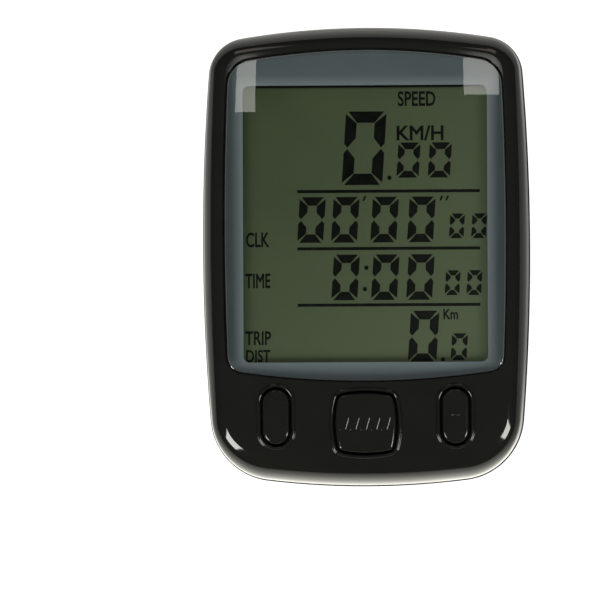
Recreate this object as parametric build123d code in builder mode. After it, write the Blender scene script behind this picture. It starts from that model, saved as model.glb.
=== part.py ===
from build123d import *
import os

# Cycling computer head unit, in millimetres. It lies on its back: the display faces +Z, the top
# of the display is towards +Y, and z = 0 is the underside of the two mounting rails.

# Case outline, seen from the front: four long arcs with rounded corners.
CASE_W = 39.4
CASE_L = 55.2
CASE_TOP = 16.0  # highest point of the crowned front
CASE_OUTLINE = {
    "half_w": CASE_W / 2, "side_r": 264.0, "waist_y": 1.5,
    "top_y": CASE_L / 2, "top_r": 94.7, "top_corner_r": 4.7,
    "base_y": -CASE_L / 2, "base_r": 96.9, "base_corner_r": 7.9,
}
CROWN_R = 280.0  # the front is a shallow spherical dome
EDGE_R = 2.0  # rounding between the front and the side wall
SIDE_DRAFT = 4.0  # degrees that the front shell's side leans in by
DOME_SPARE = 1.0  # the front shell is drawn this much too high, then cut by the dome

LEFT_RIGHT = (-1, 1)

# Shells
WALL = 1.5
SPLIT_Z = 8.0  # parting plane of the two shells
FLOOR_Z = 2.4  # outside of the back shell's floor
FLOOR_T = 1.5
FLOOR_IN_Z = FLOOR_Z + FLOOR_T
BACK_SEAM_INSET = 0.1
BACK_FLOOR_INSET = 0.9
BACK_EDGE_R = 1.8
TONGUE_OUT = 1.6  # the back shell's tongue stands inside the front shell's wall
TONGUE_IN = 2.4
TONGUE_H = 0.7
GASKET_OUT = 0.5
GASKET_IN = 1.1
GASKET_T = 0.6

# Display window and its printed border
LENS_OUTLINE = {
    "half_w": 16.88, "side_r": 390.0, "waist_y": 3.0,
    "top_y": 24.7, "top_r": 81.5, "top_corner_r": 3.2,
    "base_y": -15.0, "base_r": 104.4, "base_corner_r": 2.0,
}
LENS_Z = 13.5  # flat inner face of the lens
LENS_GAP = 0.2
LENS_SINK = 0.05  # the lens lies this much below the front's dome
MASK_T = 0.15
MASK_INSET = 0.25
VIEW_W = 29.2  # clear opening in the printed border
VIEW_TOP_Y = 20.4
VIEW_BASE_Y = -12.7
VIEW_R = 0.8
LEDGE_Z = LENS_Z - MASK_T  # the lens and its border lie on this ledge
LEDGE_T = 1.0
LEDGE_MARGIN = 0.8  # the ledge's opening is larger than the view by this all round
CEILING_Z = 13.75  # underside of the front, over the buttons
CEILING_INSET = 2.4
RECESS_WALL = 0.3

# Liquid crystal display, from the top down
GLASS_T = 0.7
FILM_T = 0.18
FILM_INSET = 0.4
REFLECTOR_T = 0.15
GLASS_HALF_W = 15.6
GLASS_BASE_Y = -13.9
FRONT_GLASS_TOP_Y = 23.1
REAR_GLASS_TOP_Y = 21.4
FRONT_GLASS_Z = 11.45
REAR_GLASS_Z = FRONT_GLASS_Z - GLASS_T
REFLECTOR_Z = REAR_GLASS_Z - REFLECTOR_T
HOLDER_HALF_W = 16.7
HOLDER_TOP_Y = 24.2
HOLDER_BASE_Y = -14.75
HOLDER_TOP_Z = 12.1
HOLDER_INSET = 1.7
HOLDER_GAP = 0.1
HOLDER_RIM = 0.9  # width of the rim that the display rests on
ZEBRA_W = 26.0
ZEBRA_T = 1.4
ZEBRA_Y = 22.4

# Circuit board
BOARD_Z = 8.9
BOARD_T = 0.8
BOARD_TOP_Z = BOARD_Z + BOARD_T
BOARD_INSET = 1.8

# Buttons: two upright pills and a barrel-sided middle one
PILL_X = 10.7
PILL_Y = -19.2
BUTTON_XS = (-PILL_X, 0, PILL_X)
PILL_W = 3.1
PILL_L = 6.5
MIDDLE_Y = -19.96
MIDDLE_OUTLINE = {
    "half_w": 3.6, "side_r": 11.6, "waist_y": MIDDLE_Y,
    "top_y": MIDDLE_Y + 3.55, "top_r": 14.3, "top_corner_r": 0.7,
    "base_y": MIDDLE_Y - 3.55, "base_r": 14.3, "base_corner_r": 0.7,
}
BUTTON_GAP = 0.3
LIP_W = 0.4
LIP_H = 0.3
CAP_PROUD = 0.45
CAP_EDGE_R = 0.25
FLANGE_Z = 13.05
FLANGE_T = 0.65
PILL_FLANGE = 0.65  # the flange reaches this far out from the cap
TAB_HALF_W = 4.6
TAB_HALF_L = 2.0
PLUNGER_R = 1.5
PLUNGER_Z = 11.95
MAT_T = 0.7
MAT_HALF_W = 13.8
MAT_TOP_Y = -15.9
MAT_BASE_Y = -23.6
MAT_CORNER_R = 1.5
DOME_BASE_R = 2.8
DOME_TOP_R = 1.9
DOME_TOP_Z = 11.9
DOME_ROOF_Z = 11.0
CAVITY_BASE_R = 2.3
CAVITY_TOP_R = 1.5
CONTACT_PILL_R = 1.2
CONTACT_PILL_T = 0.6

# Screws and hooks that hold the case and the board
CASE_SCREW_X = 6.6
CASE_SCREW_Y = -23.3
CASE_SCREW_R = 0.8
CASE_HEAD_R = 1.4
CASE_HEAD_T = 1.1
CASE_HEAD_Z = 4.6  # face that the head pulls against
CASE_SCREW_END_Z = 11.6
CASE_WELL_R = 1.55
FRONT_BOSS_R = 1.8
BACK_POST_R = 1.75
WELL_SLEEVE_R = 2.1
BOARD_SCREW_X = 15.4
BOARD_SCREW_Y = -16.4
BOARD_SCREW_R = 0.6
BOARD_HEAD_R = 1.1
BOARD_HEAD_T = 0.7
BOARD_SCREW_END_Z = 12.2
BOARD_BOSS_R = 1.3
SCREW_FIT = 0.02  # radial gap between a thread's outside and its hole
SCREW_SPARE = 0.5  # the hole is this much deeper than the screw
SHANK_GAP = 0.1
BOSS_GAP = 0.3  # between a boss and the board or mat around it
HEAD_EDGE_R = 0.2
CROSS_L = 1.4
CROSS_W = 0.4
CROSS_DEPTH = 0.5
HOOK_X = 8.0
HOOK_W = 3.0
HOOK_Y = 24.6
HOOK_T = 0.9
HOOK_TOP_Z = 10.2
BARB_T = 0.55
BARB_H = 0.8
HOOK_FIT = 0.1

# Battery compartment: a bayonet cover with three lugs closes it
BATTERY_Y = -3.5
CELL_R = 10.0
CELL_T = 3.2
CELL_Z = 3.8
CELL_CAP_R = 8.6
CELL_CAP_H = 0.3
CELL_EDGE_R = 0.4
COVER_R = 11.6
COVER_T = 1.3
COVER_GAP = 0.15
SKIRT_R = 10.8
SKIRT_T = 0.6
LUG_COUNT = 3
LUG_ANGLE = 24.0
LUG_Z = 5.05
LUG_T = 0.7
LEDGE_RING_R = 11.0
LEDGE_RING_Z = 4.4
LEDGE_RING_T = 0.6
NOTCH_ANGLE = 28.0
COVER_TURN = 45.0  # turn from locked to free
STOP_MARGIN = 3.5
STOP_ANGLE = 3.0
STOP_R = 11.1
COLLAR_R = 13.0
COLLAR_TOP_Z = 7.6
SEAL_R = 0.32
SLOT_L = 12.0
SLOT_W = 1.6
SLOT_DEPTH = 0.75

# Mounting rails and contact pads for the handlebar bracket
RAIL_IN_X = 12.4
RAIL_NECK_X = 13.6
RAIL_OUT_X = 15.2
RAIL_LIP_T = 1.0
RAIL_TOP_Y = 13.0
RAIL_BASE_Y = -15.0
RAIL_STOP_L = 1.2
RAIL_LEAD = 0.6
PAD_X = 3.6
PAD_Y = 16.5
PAD_R = 1.6
PAD_Z = 2.3
PAD_T = 0.6
PAD_EDGE_R = 0.15
STEM_R = 0.7
STEM_TOP_Z = 4.4
LATCH_W = 5.0
LATCH_L = 1.6
LATCH_DEPTH = 0.7
LATCH_Y = 21.0

# Small parts on the board
LEAF_T = 0.2
LEAF_W = 1.4
NEGATIVE_W = 3.0
POSITIVE_W = 4.0
POSITIVE_Z = 6.0
POSITIVE_FOOT = 3.0
BLOB_R = 3.4
BLOB_H = 1.1
BLOB_EDGE_R = 0.9
BLOB_AT = (-7.5, 13.2)
CRYSTAL_R = 1.0
CRYSTAL_L = 6.0
CRYSTAL_AT = (8.5, 12.6)
CHIP_L = 1.6
CHIP_W = 0.8
CHIP_H = 0.6
CHIP_PLACES = [(-1.2, 12.2), (1.2, 12.2), (-13.2, 9.0), (-13.2, 11.0), (13.6, 8.6), (13.6, 10.6)]

def write(piece, name):
    """Labels a finished piece and writes its STEP file."""
    piece.part.label = name
    export_step(piece.part, f"parts/{name}.step")


def dome_z(x, y, level=CASE_TOP):
    """Height of a dome with the front's curvature and its top at level."""
    return level - CROWN_R + (CROWN_R**2 - x**2 - y**2) ** 0.5


def under_dome(level):
    """Keeps what lies under a dome with its top at level. Its poles lie off to the sides."""
    with Locations((0, 0, level - CROWN_R)):
        Sphere(CROWN_R, rotation=(90, 0, 0), mode=Mode.INTERSECT)


def arc_outline(shape, inset=0.0):
    """A sketch of four long arcs rounded at their corners, all pulled in by inset."""
    with BuildSketch(mode=Mode.PRIVATE) as outline:
        with Locations((0, shape["top_y"] - shape["top_r"])):
            Circle(shape["top_r"] - inset)
        with Locations((0, shape["base_y"] + shape["base_r"])):
            Circle(shape["base_r"] - inset, mode=Mode.INTERSECT)
        for side in LEFT_RIGHT:
            with Locations((side * (shape["half_w"] - shape["side_r"]), shape["waist_y"])):
                Circle(shape["side_r"] - inset, mode=Mode.INTERSECT)
        fillet(outline.vertices().group_by(Axis.Y)[-1], shape["top_corner_r"] - inset)
        fillet(outline.vertices().group_by(Axis.Y)[0], shape["base_corner_r"] - inset)
    return outline.sketch


def case_profile(inset=0.0, mode=Mode.ADD):
    """Draws the case outline, pulled in by inset."""
    add(arc_outline(CASE_OUTLINE, inset), mode=mode)


def case_ring(outer, inner):
    """Draws the band of the case outline between two insets."""
    case_profile(outer)
    case_profile(inner, Mode.SUBTRACT)


def lens_profile(grow=0.0, mode=Mode.ADD):
    """Draws the lens outline, let out by grow."""
    add(arc_outline(LENS_OUTLINE, -grow), mode=mode)


def pill_profile(x, grow=0.0):
    """Draws the outline of the pill button at x, let out by grow."""
    with Locations((x, PILL_Y)):
        SlotOverall(PILL_L + 2 * grow, PILL_W + 2 * grow, rotation=90)


def button_profile(x, grow=0.0):
    """Draws the outline of the button whose centre is at x."""
    if x:
        pill_profile(x, grow)
    else:
        add(arc_outline(MIDDLE_OUTLINE, -grow))


def block(low, high, mode=Mode.ADD):
    """A box between two opposite corners."""
    with Locations(tuple((a + b) / 2 for a, b in zip(low, high))):
        Box(*(b - a for a, b in zip(low, high)), mode=mode)


def make_button_lip(x):
    """The raised rim around one button hole."""
    with BuildPart() as lip:
        with BuildSketch(Plane.XY.offset(CEILING_Z)):
            button_profile(x, BUTTON_GAP + LIP_W)
        extrude(amount=CASE_TOP)
        under_dome(CASE_TOP + LIP_H)
    return lip.part


def make_front_shell():
    lips = [make_button_lip(x) for x in BUTTON_XS]
    with BuildPart() as shell:
        with BuildSketch(Plane.XY.offset(SPLIT_Z)):
            case_profile()
        extrude(amount=CASE_TOP - SPLIT_Z + DOME_SPARE, taper=SIDE_DRAFT)
        under_dome(CASE_TOP)
        fillet(shell.faces().sort_by(Axis.Z)[-1].edges(), EDGE_R)
        add(lips)
        # hollow up to the ledge, and higher over the buttons
        with BuildSketch(Plane.XY.offset(SPLIT_Z)):
            case_profile(WALL)
        extrude(amount=LEDGE_Z - LEDGE_T - SPLIT_Z, mode=Mode.SUBTRACT)
        with BuildSketch(Plane.XY.offset(LEDGE_Z - LEDGE_T)):
            case_profile(CEILING_INSET)
            lens_profile(LENS_GAP + RECESS_WALL, Mode.SUBTRACT)
            with Locations((0, CASE_L / 2)):
                Rectangle(2 * CASE_W, CASE_L - 2 * VIEW_BASE_Y, mode=Mode.SUBTRACT)
        extrude(amount=CEILING_Z - LEDGE_Z + LEDGE_T, mode=Mode.SUBTRACT)
        # seat of the lens and the opening under it
        with BuildSketch(Plane.XY.offset(LEDGE_Z)):
            lens_profile(LENS_GAP)
        extrude(amount=CASE_TOP, mode=Mode.SUBTRACT)
        block(
            (-VIEW_W / 2 - LEDGE_MARGIN, VIEW_BASE_Y - LEDGE_MARGIN, LEDGE_Z - 2 * LEDGE_T),
            (VIEW_W / 2 + LEDGE_MARGIN, VIEW_TOP_Y + LEDGE_MARGIN, CASE_TOP),
            Mode.SUBTRACT,
        )
        for x in BUTTON_XS:
            with BuildSketch(Plane.XY.offset(CEILING_Z - LEDGE_T)):
                button_profile(x, BUTTON_GAP)
            extrude(amount=CASE_TOP, mode=Mode.SUBTRACT)
        for side in LEFT_RIGHT:
            screw_boss(side * CASE_SCREW_X, CASE_SCREW_Y, FRONT_BOSS_R, SPLIT_Z + TONGUE_H,
                       CASE_SCREW_R + SCREW_FIT, CASE_SCREW_END_Z + SCREW_SPARE)
            screw_boss(side * BOARD_SCREW_X, BOARD_SCREW_Y, BOARD_BOSS_R, BOARD_TOP_Z,
                       BOARD_SCREW_R + SCREW_FIT, BOARD_SCREW_END_Z + SCREW_SPARE)
            half_w = HOOK_W / 2 + HOOK_FIT
            block(
                (side * HOOK_X - half_w, HOOK_Y, HOOK_TOP_Z - BARB_H - HOOK_FIT),
                (side * HOOK_X + half_w, HOOK_Y + HOOK_T + BARB_T + HOOK_FIT, HOOK_TOP_Z + HOOK_FIT),
                Mode.SUBTRACT,
            )
    return shell


def post(x, y, radius, low_z, high_z, mode=Mode.ADD):
    """An upright cylinder between two heights."""
    with Locations((x, y, (low_z + high_z) / 2)):
        Cylinder(radius, high_z - low_z, mode=mode)


def screw_boss(x, y, radius, low_z, hole_r, hole_top_z):
    """A boss under the front with a blind screw hole."""
    post(x, y, radius, low_z, CEILING_Z)
    post(x, y, hole_r, low_z, hole_top_z, Mode.SUBTRACT)


def make_lens():
    with BuildPart() as lens:
        with BuildSketch(Plane.XY.offset(LENS_Z)):
            lens_profile()
        extrude(amount=CASE_TOP)
        under_dome(CASE_TOP - LENS_SINK)
    return lens


def make_mask():
    with BuildPart() as mask:
        with BuildSketch(Plane.XY.offset(LEDGE_Z)):
            lens_profile(-MASK_INSET)
            with Locations((0, (VIEW_TOP_Y + VIEW_BASE_Y) / 2)):
                RectangleRounded(VIEW_W, VIEW_TOP_Y - VIEW_BASE_Y, VIEW_R, mode=Mode.SUBTRACT)
        extrude(amount=MASK_T)
    return mask


def make_plate(half_w, base_y, top_y, z, thickness):
    """A flat rectangular layer of the display."""
    with BuildPart() as plate:
        block((-half_w, base_y, z), (half_w, top_y, z + thickness))
    return plate


def make_lcd_holder():
    with BuildPart() as holder:
        with BuildSketch(Plane.XY.offset(BOARD_TOP_Z)):
            case_profile(HOLDER_INSET)
            with Locations((0, (HOLDER_TOP_Y + HOLDER_BASE_Y) / 2)):
                Rectangle(2 * HOLDER_HALF_W, HOLDER_TOP_Y - HOLDER_BASE_Y, mode=Mode.INTERSECT)
        extrude(amount=HOLDER_TOP_Z - BOARD_TOP_Z)
        block(
            (-GLASS_HALF_W - HOLDER_GAP, GLASS_BASE_Y - HOLDER_GAP, REFLECTOR_Z),
            (GLASS_HALF_W + HOLDER_GAP, FRONT_GLASS_TOP_Y + HOLDER_GAP, HOLDER_TOP_Z),
            Mode.SUBTRACT,
        )
        block(
            (-GLASS_HALF_W + HOLDER_RIM, GLASS_BASE_Y + HOLDER_RIM, BOARD_TOP_Z),
            (GLASS_HALF_W - HOLDER_RIM, REAR_GLASS_TOP_Y - HOLDER_RIM, REFLECTOR_Z),
            Mode.SUBTRACT,
        )
        slot_half_w = ZEBRA_W / 2 + HOLDER_GAP
        slot_half_l = ZEBRA_T / 2 + HOLDER_GAP
        block(
            (-slot_half_w, ZEBRA_Y - slot_half_l, BOARD_TOP_Z),
            (slot_half_w, ZEBRA_Y + slot_half_l, REFLECTOR_Z),
            Mode.SUBTRACT,
        )
    return holder


def make_zebra_strip():
    with BuildPart() as strip:
        block(
            (-ZEBRA_W / 2, ZEBRA_Y - ZEBRA_T / 2, BOARD_TOP_Z),
            (ZEBRA_W / 2, ZEBRA_Y + ZEBRA_T / 2, FRONT_GLASS_Z),
        )
    return strip


def make_circuit_board():
    with BuildPart() as board:
        with BuildSketch(Plane.XY.offset(BOARD_Z)):
            case_profile(BOARD_INSET)
            with Locations(*((side * CASE_SCREW_X, CASE_SCREW_Y) for side in LEFT_RIGHT)):
                Circle(FRONT_BOSS_R + BOSS_GAP, mode=Mode.SUBTRACT)
            with Locations(*((side * BOARD_SCREW_X, BOARD_SCREW_Y) for side in LEFT_RIGHT)):
                Circle(BOARD_SCREW_R + SHANK_GAP, mode=Mode.SUBTRACT)
            with Locations(*((side * HOOK_X, HOOK_Y + HOOK_T) for side in LEFT_RIGHT)):
                Rectangle(HOOK_W + 2 * BOSS_GAP, 2 * HOOK_T + 2 * BOSS_GAP, mode=Mode.SUBTRACT)
        extrude(amount=BOARD_T)
    return board


def make_chip_blob():
    with BuildPart() as blob:
        post(*BLOB_AT, BLOB_R, BOARD_Z - BLOB_H, BOARD_Z)
        fillet(blob.faces().sort_by(Axis.Z)[0].edges(), BLOB_EDGE_R)
    return blob


def make_crystal():
    with BuildPart() as crystal:
        with Locations((*CRYSTAL_AT, BOARD_Z - CRYSTAL_R)):
            Cylinder(CRYSTAL_R, CRYSTAL_L, rotation=(0, 90, 0))
    return crystal


def make_surface_parts():
    with BuildPart() as chips:
        with Locations(*((x, y, BOARD_Z - CHIP_H / 2) for x, y in CHIP_PLACES)):
            Box(CHIP_L, CHIP_W, CHIP_H)
    return chips


def make_button_cap(x):
    """A button cap with its flange under the front and the plunger that works the mat."""
    y = PILL_Y if x else MIDDLE_Y
    top = dome_z(x, y) + CAP_PROUD
    with BuildPart() as cap:
        with BuildSketch(Plane.XY.offset(FLANGE_Z)):
            button_profile(x)
        extrude(amount=top - FLANGE_Z)
        fillet(cap.faces().sort_by(Axis.Z)[-1].edges(), CAP_EDGE_R)
        if x:
            with BuildSketch(Plane.XY.offset(FLANGE_Z)):
                pill_profile(x, PILL_FLANGE)
            extrude(amount=FLANGE_T)
        else:
            block((-TAB_HALF_W, y - TAB_HALF_L, FLANGE_Z), (TAB_HALF_W, y + TAB_HALF_L, FLANGE_Z + FLANGE_T))
        post(x, y, PLUNGER_R, PLUNGER_Z, FLANGE_Z)
    return cap


def make_contact_pill(x):
    with BuildPart() as pill:
        post(x, PILL_Y if x else MIDDLE_Y, CONTACT_PILL_R, DOME_ROOF_Z - CONTACT_PILL_T, DOME_ROOF_Z)
    return pill


def make_button_mat():
    """Silicone sheet on the board with a hollow dome under each button."""
    centres = [(-PILL_X, PILL_Y), (0, MIDDLE_Y), (PILL_X, PILL_Y)]
    dome_base = BOARD_TOP_Z + MAT_T
    with BuildPart() as mat:
        with BuildSketch(Plane.XY.offset(BOARD_TOP_Z)):
            with Locations((0, (MAT_TOP_Y + MAT_BASE_Y) / 2)):
                RectangleRounded(2 * MAT_HALF_W, MAT_TOP_Y - MAT_BASE_Y, MAT_CORNER_R)
            with Locations(*((side * CASE_SCREW_X, CASE_SCREW_Y) for side in LEFT_RIGHT)):
                Circle(FRONT_BOSS_R + BOSS_GAP, mode=Mode.SUBTRACT)
            with Locations(*((side * BOARD_SCREW_X, BOARD_SCREW_Y) for side in LEFT_RIGHT)):
                Circle(BOARD_BOSS_R + BOSS_GAP, mode=Mode.SUBTRACT)
        extrude(amount=MAT_T)
        for x, y in centres:
            with Locations((x, y, (dome_base + DOME_TOP_Z) / 2)):
                Cone(DOME_BASE_R, DOME_TOP_R, DOME_TOP_Z - dome_base)
        for x, y in centres:
            with Locations((x, y, (BOARD_TOP_Z + DOME_ROOF_Z) / 2)):
                Cone(CAVITY_BASE_R, CAVITY_TOP_R, DOME_ROOF_Z - BOARD_TOP_Z, mode=Mode.SUBTRACT)
    return mat


def cut_cross(x, y, z):
    """Cross recess in a screw head whose face is at z, open towards -Z."""
    with Locations((x, y, z + CROSS_DEPTH / 2)):
        Box(CROSS_L, CROSS_W, CROSS_DEPTH, mode=Mode.SUBTRACT)
        Box(CROSS_W, CROSS_L, CROSS_DEPTH, mode=Mode.SUBTRACT)


def make_screws(x, y, seat_z, end_z, shank_r, head_r, head_t):
    """A left and a right pan head screw, driven from the back."""
    with BuildPart() as screws:
        for side in LEFT_RIGHT:
            post(side * x, y, shank_r, seat_z, end_z)
            post(side * x, y, head_r, seat_z - head_t, seat_z)
        fillet(screws.faces().group_by(Axis.Z)[0].edges(), HEAD_EDGE_R)
        for side in LEFT_RIGHT:
            cut_cross(side * x, y, seat_z - head_t)
    return screws


def make_back_shell():
    with BuildPart() as shell:
        with BuildSketch(Plane.XY.offset(FLOOR_Z)):
            case_profile(BACK_FLOOR_INSET)
        with BuildSketch(Plane.XY.offset(SPLIT_Z)):
            case_profile(BACK_SEAM_INSET)
        loft(ruled=True)
        fillet(shell.faces().sort_by(Axis.Z)[0].edges(), BACK_EDGE_R)
        with BuildSketch(Plane.XY.offset(SPLIT_Z)):
            case_ring(TONGUE_OUT, TONGUE_IN)
        extrude(amount=TONGUE_H)
        with BuildSketch(Plane.XY.offset(FLOOR_IN_Z)):
            case_profile(TONGUE_IN)
        extrude(amount=SPLIT_Z - FLOOR_IN_Z, mode=Mode.SUBTRACT)
        with BuildSketch(Plane.XY.offset(SPLIT_Z - GASKET_T)):
            case_ring(GASKET_OUT, GASKET_IN)
        extrude(amount=GASKET_T, mode=Mode.SUBTRACT)
        for side in LEFT_RIGHT:
            add_rail(side)
            add_case_screw_post(side)
            add_hook(side)
            post(side * PAD_X, PAD_Y, PAD_R, 0, PAD_Z + PAD_T, Mode.SUBTRACT)
            post(side * PAD_X, PAD_Y, STEM_R, 0, SPLIT_Z, Mode.SUBTRACT)
        block(
            (-LATCH_W / 2, LATCH_Y - LATCH_L / 2, FLOOR_Z - LATCH_DEPTH),
            (LATCH_W / 2, LATCH_Y + LATCH_L / 2, FLOOR_Z + LATCH_DEPTH),
            Mode.SUBTRACT,
        )
        add_battery_collar()
    return shell


def add_rail(side):
    """One mounting rail: a neck with a lip that points outwards, and a stop at its lower end."""
    neck = sorted((side * RAIL_IN_X, side * RAIL_NECK_X))
    lip = sorted((side * RAIL_IN_X, side * RAIL_OUT_X))
    block((neck[0], RAIL_BASE_Y, 0), (neck[1], RAIL_TOP_Y, FLOOR_IN_Z - WALL / 2))
    block((lip[0], RAIL_BASE_Y, 0), (lip[1], RAIL_TOP_Y - RAIL_LEAD, RAIL_LIP_T))
    block((lip[0], RAIL_BASE_Y, 0), (lip[1], RAIL_BASE_Y + RAIL_STOP_L, FLOOR_IN_Z - WALL / 2))


def add_case_screw_post(side):
    """A post inside the back shell with a well for the screw head outside."""
    x, y = side * CASE_SCREW_X, CASE_SCREW_Y
    post(x, y, BACK_POST_R, FLOOR_IN_Z, SPLIT_Z + TONGUE_H)
    post(x, y, WELL_SLEEVE_R, FLOOR_Z, FLOOR_IN_Z + FLOOR_T)
    post(x, y, CASE_WELL_R, 0, CASE_HEAD_Z, Mode.SUBTRACT)
    post(x, y, CASE_SCREW_R + SHANK_GAP, 0, CASE_TOP, Mode.SUBTRACT)


def add_hook(side):
    """A hook that snaps into the top of the front shell."""
    x = side * HOOK_X
    block((x - HOOK_W / 2, HOOK_Y, FLOOR_IN_Z), (x + HOOK_W / 2, HOOK_Y + HOOK_T, HOOK_TOP_Z))
    block(
        (x - HOOK_W / 2, HOOK_Y, HOOK_TOP_Z - BARB_H),
        (x + HOOK_W / 2, HOOK_Y + HOOK_T + BARB_T, HOOK_TOP_Z),
    )


def add_battery_collar():
    """The opening for the battery, its collar and the bayonet ledge."""
    bore_r = COVER_R + COVER_GAP
    ledge_top = LEDGE_RING_Z + LEDGE_RING_T
    post(0, BATTERY_Y, COLLAR_R, FLOOR_IN_Z, COLLAR_TOP_Z)
    post(0, BATTERY_Y, bore_r, 0, COLLAR_TOP_Z, Mode.SUBTRACT)
    lug_starts = [i * 360 / LUG_COUNT - LUG_ANGLE / 2 for i in range(LUG_COUNT)]
    with BuildSketch(Plane.XY.offset(LEDGE_RING_Z)) as ledge:
        for start in lug_starts:
            notch_end = start - COVER_TURN + (LUG_ANGLE + NOTCH_ANGLE) / 2
            add(ring_sector(LEDGE_RING_R, COLLAR_R, notch_end, 360 / LUG_COUNT - NOTCH_ANGLE))
    extrude(ledge.sketch, amount=LEDGE_RING_T)
    with BuildSketch(Plane.XY.offset(ledge_top)) as stops:
        for start in lug_starts:
            add(ring_sector(STOP_R, COLLAR_R, start + LUG_ANGLE + STOP_MARGIN, STOP_ANGLE))
            add(ring_sector(STOP_R, COLLAR_R, start - COVER_TURN - STOP_MARGIN - STOP_ANGLE, STOP_ANGLE))
    extrude(stops.sketch, amount=LUG_Z + LUG_T - ledge_top)


def ring_sector(inner_r, outer_r, start, angle):
    """A sketch of a piece of ring about the battery's axis, from start degrees through angle."""
    with BuildSketch(mode=Mode.PRIVATE) as sector:
        with BuildLine():
            outer = CenterArc((0, BATTERY_Y), outer_r, start, angle)
            inner = CenterArc((0, BATTERY_Y), inner_r, start, angle)
            Line(outer @ 0, inner @ 0)
            Line(outer @ 1, inner @ 1)
        make_face()
    return sector.sketch


def make_gasket():
    with BuildPart() as gasket:
        with BuildSketch(Plane.XY.offset(SPLIT_Z - GASKET_T)):
            case_ring(GASKET_OUT, GASKET_IN)
        extrude(amount=GASKET_T)
    return gasket


def make_battery_cover():
    cover_top = FLOOR_Z + COVER_T
    with BuildPart() as cover:
        post(0, BATTERY_Y, COVER_R, FLOOR_Z, cover_top)
        post(0, BATTERY_Y, SKIRT_R, cover_top, LUG_Z + LUG_T)
        post(0, BATTERY_Y, SKIRT_R - SKIRT_T, cover_top, LUG_Z + LUG_T, Mode.SUBTRACT)
        with BuildSketch(Plane.XY.offset(LUG_Z)):
            for i in range(LUG_COUNT):
                start = i * 360 / LUG_COUNT - LUG_ANGLE / 2
                add(ring_sector(SKIRT_R - SKIRT_T / 2, COVER_R, start, LUG_ANGLE))
        extrude(amount=LUG_T)
        with BuildSketch(Plane.XY.offset(FLOOR_Z)):
            with Locations((0, BATTERY_Y)):
                SlotOverall(SLOT_L, SLOT_W)
        extrude(amount=SLOT_DEPTH, mode=Mode.SUBTRACT)
    return cover


def make_cover_seal():
    with BuildPart() as seal:
        with Locations((0, BATTERY_Y, (FLOOR_Z + COVER_T + LEDGE_RING_Z) / 2)):
            Torus((SKIRT_R + COVER_R + COVER_GAP) / 2, SEAL_R)
    return seal


def make_coin_cell():
    """A coin cell: the wide positive can, and the narrower negative cap above its rim."""
    cell_top = CELL_Z + CELL_T
    with BuildPart() as cell:
        post(0, BATTERY_Y, CELL_R, CELL_Z, cell_top - CELL_CAP_H)
        fillet(cell.edges().filter_by(GeomType.CIRCLE), CELL_EDGE_R)
        post(0, BATTERY_Y, CELL_CAP_R, cell_top - CELL_CAP_H, cell_top)
    return cell


def bent_leaf(points, x, width):
    """A thin strip that follows points in the YZ plane, centred on x."""
    with BuildSketch(Plane.YZ.offset(x)) as strip:
        with BuildLine():
            Polyline(*points)
            offset(amount=LEAF_T / 2)
        make_face()
    extrude(strip.sketch, amount=width / 2, both=True)


def make_negative_contact():
    """A sprung leaf from the board to the middle of the battery."""
    low = CELL_Z + CELL_T + LEAF_T / 2
    high = BOARD_Z - LEAF_T / 2
    bends = [(-2, low + LEAF_T), (-1, low), (1, low), (6, high), (9, high)]
    with BuildPart() as contact:
        bent_leaf([(BATTERY_Y + y, z) for y, z in bends], 0, NEGATIVE_W)
    return contact


def make_positive_contact():
    """A strip that reaches down from the board and bears on the battery's edge."""
    inner_x = CELL_R + SCREW_FIT
    low_y, high_y = BATTERY_Y - POSITIVE_W / 2, BATTERY_Y + POSITIVE_W / 2
    with BuildPart() as contact:
        block((inner_x, low_y, POSITIVE_Z), (inner_x + LEAF_T, high_y, BOARD_Z))
        block((inner_x, low_y, BOARD_Z - LEAF_T), (inner_x + POSITIVE_FOOT, high_y, BOARD_Z))
    return contact


def make_bracket_contacts():
    with BuildPart() as pads:
        for side in LEFT_RIGHT:
            post(side * PAD_X, PAD_Y, PAD_R, PAD_Z, PAD_Z + PAD_T)
            post(side * PAD_X, PAD_Y, STEM_R, PAD_Z + PAD_T, STEM_TOP_Z)
        fillet(pads.faces().group_by(Axis.Z)[0].edges(), PAD_EDGE_R)
    return pads


def make_contact_leaves():
    """Bent strips that join the bracket contacts to the board."""
    low = STEM_TOP_Z + LEAF_T / 2
    high = BOARD_Z - LEAF_T / 2
    bends = [(1, low), (-1, low), (3, high), (5, high)]
    with BuildPart() as leaves:
        for side in LEFT_RIGHT:
            bent_leaf([(PAD_Y + y, z) for y, z in bends], side * PAD_X, LEAF_W)
    return leaves


os.makedirs("parts", exist_ok=True)
write(make_front_shell(), "front_shell")
write(make_lens(), "window_lens")
write(make_mask(), "window_border")
front_polariser = make_plate(
    GLASS_HALF_W - FILM_INSET, GLASS_BASE_Y + FILM_INSET, REAR_GLASS_TOP_Y - FILM_INSET,
    FRONT_GLASS_Z + GLASS_T, FILM_T,
)
write(front_polariser, "lcd_front_polariser")
write(make_plate(GLASS_HALF_W, GLASS_BASE_Y, FRONT_GLASS_TOP_Y, FRONT_GLASS_Z, GLASS_T), "lcd_front_glass")
write(make_plate(GLASS_HALF_W, GLASS_BASE_Y, REAR_GLASS_TOP_Y, REAR_GLASS_Z, GLASS_T), "lcd_rear_glass")
write(make_plate(GLASS_HALF_W, GLASS_BASE_Y, REAR_GLASS_TOP_Y, REFLECTOR_Z, REFLECTOR_T), "lcd_reflector")
write(make_lcd_holder(), "lcd_holder")
write(make_zebra_strip(), "zebra_strip")
write(make_circuit_board(), "circuit_board")
write(make_chip_blob(), "chip_blob")
write(make_crystal(), "crystal_can")
write(make_surface_parts(), "surface_parts")
for name, x in zip(("left", "middle", "right"), BUTTON_XS):
    write(make_button_cap(x), f"{name}_button_cap")
    write(make_contact_pill(x), f"{name}_contact_pill")
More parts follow.
